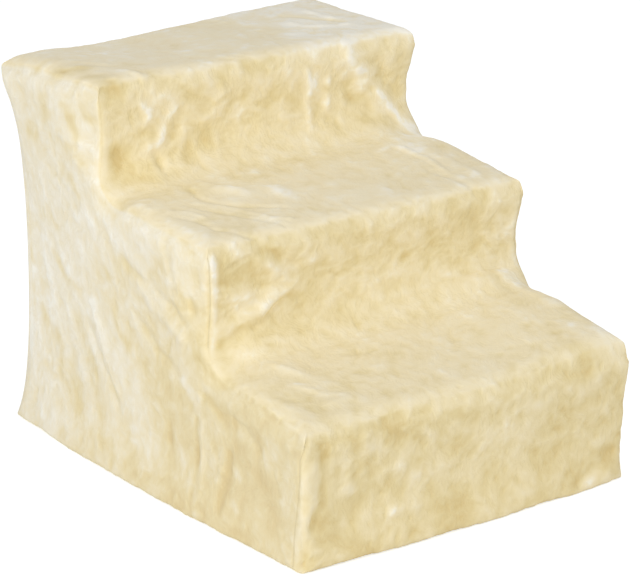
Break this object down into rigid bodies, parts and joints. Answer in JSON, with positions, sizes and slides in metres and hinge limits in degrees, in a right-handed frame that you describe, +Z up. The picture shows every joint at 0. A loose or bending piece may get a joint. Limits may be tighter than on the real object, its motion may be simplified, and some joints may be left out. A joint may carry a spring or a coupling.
{
  "type": "pet stairs",
  "caption": "Stepped pet stairs: a plush cover stretched over a push-fit tube frame with padded tread boards, for a small pet to climb onto a bed or sofa.",
  "frame": {"origin": "centre of the footprint, on the floor under the soles", "axes": "+Y up the stairs from the lowest step to the back, +X to the right of a pet climbing them, +Z up"},
  "size_m": [0.35, 0.45, 0.34],
  "materials": {
    "plush": "cream crushed plush pile",
    "tube_steel": "satin powder coat",
    "connector_plastic": "moulded, fine texture",
    "board_plastic": "moulded, fine texture",
    "pad_foam": "open-cell foam",
    "sole_rubber": "matt",
    "hook_tape": "hook tape",
    "loop_tape": "loop tape"
  },
  "bodies": {
    "frame": {"back_post_left": "tube_steel", "back_post_right": "tube_steel", "base_corner_back_left": "connector_plastic", "base_corner_back_right": "connector_plastic", "base_corner_front_left": "connector_plastic", "base_corner_front_right": "connector_plastic", "base_cross_tube_back": "tube_steel", "base_cross_tube_front": "tube_steel", "base_rail_left": "tube_steel", "base_rail_right": "tube_steel", "base_tee_second_left": "connector_plastic", "base_tee_second_right": "connector_plastic", "base_tee_third_left": "connector_plastic", "base_tee_third_right": "connector_plastic", "first_tread_board": "board_plastic", "first_tread_corner_left": "connector_plastic", "first_tread_corner_right": "connector_plastic", "first_tread_cross_tube_back": "tube_steel", "first_tread_cross_tube_front": "tube_steel", "first_tread_pad": "pad_foam", "first_tread_rail_left": "tube_steel", "first_tread_rail_right": "tube_steel", "first_tread_tee_left": "connector_plastic", "first_tread_tee_right": "connector_plastic", "front_post_left": "tube_steel", "front_post_right": "tube_steel", "rail_hook_strips": "hook_tape", "rubber_soles": "sole_rubber", "second_post_left": "tube_steel", "second_post_right": "tube_steel", "second_tread_board": "board_plastic", "second_tread_corner_left": "connector_plastic", "second_tread_corner_right": "connector_plastic", "second_tread_cross_tube_back": "tube_steel", "second_tread_cross_tube_front": "tube_steel", "second_tread_pad": "pad_foam", "second_tread_rail_left": "tube_steel", "second_tread_rail_right": "tube_steel", "second_tread_tee_left": "connector_plastic", "second_tread_tee_right": "connector_plastic", "third_post_left": "tube_steel", "third_post_right": "tube_steel", "top_corner_back_left": "connector_plastic", "top_corner_back_right": "connector_plastic", "top_corner_front_left": "connector_plastic", "top_corner_front_right": "connector_plastic", "top_tread_board": "board_plastic", "top_tread_cross_tube_back": "tube_steel", "top_tread_cross_tube_front": "tube_steel", "top_tread_pad": "pad_foam", "top_tread_rail_left": "tube_steel", "top_tread_rail_right": "tube_steel"},
    "cover": {"cover_back": "plush", "cover_left_side": "plush", "cover_right_side": "plush", "cover_step_strip": "plush", "hem_loop_strips": "loop_tape"}
  },
  "joints": [
    {"name": "cover_lift", "type": "slide", "parent": "frame", "child": "cover", "axis": [0, 0, 1], "range_m": [0, 0.345]}
  ]
}
